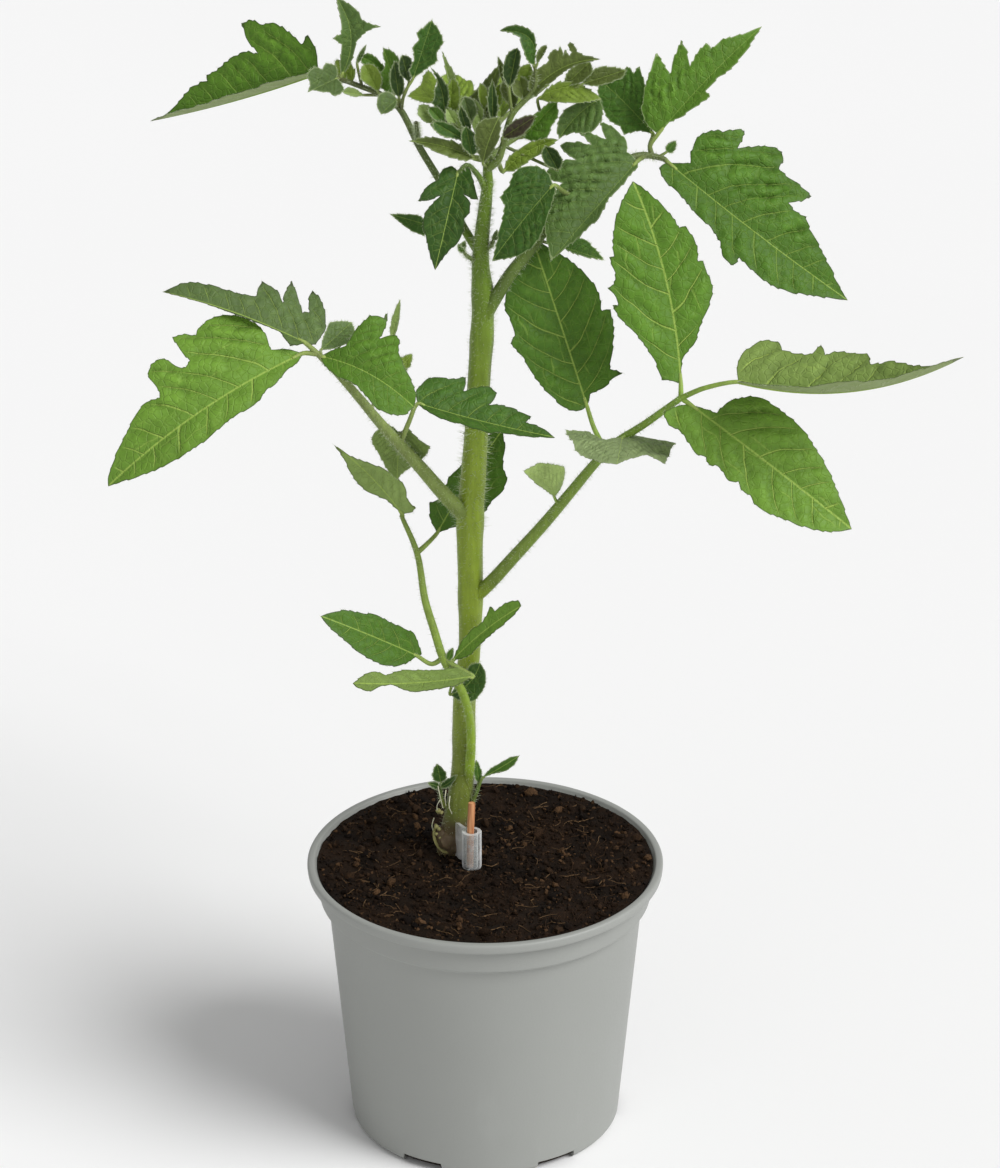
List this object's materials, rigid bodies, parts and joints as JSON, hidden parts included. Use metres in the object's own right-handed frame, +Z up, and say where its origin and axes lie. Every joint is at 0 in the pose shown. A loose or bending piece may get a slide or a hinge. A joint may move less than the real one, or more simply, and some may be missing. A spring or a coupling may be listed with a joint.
{
  "type": "tomato plant in a pot",
  "caption": "Young grafted tomato plant with toothed compound leaves, its support stick and clip, standing in a soil-filled round plastic nursery pot.",
  "frame": {"origin": "centre of the pot's foot, on the surface that the pot stands on", "axes": "+Z up along the pot's axis, -Y towards the viewer of the picture, +X to the viewer's right"},
  "size_m": [0.2889, 0.1388, 0.4195],
  "materials": {
    "pot_plastic": "satin moulded polypropylene, cool grey",
    "potting_soil": "damp dark peat with brown fibres",
    "stem_green": "olive green, with fine white hairs",
    "leaf_green": "soft matte green, paler below, with light veins",
    "young_leaf_green": "dark green, downy with white hairs",
    "stick_wood": "plain round wood, orange brown",
    "clip_silicone": "clear milky silicone"
  },
  "bodies": {
    "root": {"pot": "pot_plastic", "soil": "potting_soil", "stem": "stem_green", "support_stick": "stick_wood", "graft_clip": "clip_silicone", "leaf_lower_front": "leaf_green", "leaf_right": "leaf_green", "leaf_left": "leaf_green", "leaf_upper_right": "leaf_green", "leaf_upper_left": "leaf_green", "leaf_young_front": "young_leaf_green", "shoot_tip": "young_leaf_green", "sprout_left": "young_leaf_green", "sprout_right": "young_leaf_green"}
  },
  "joints": []
}
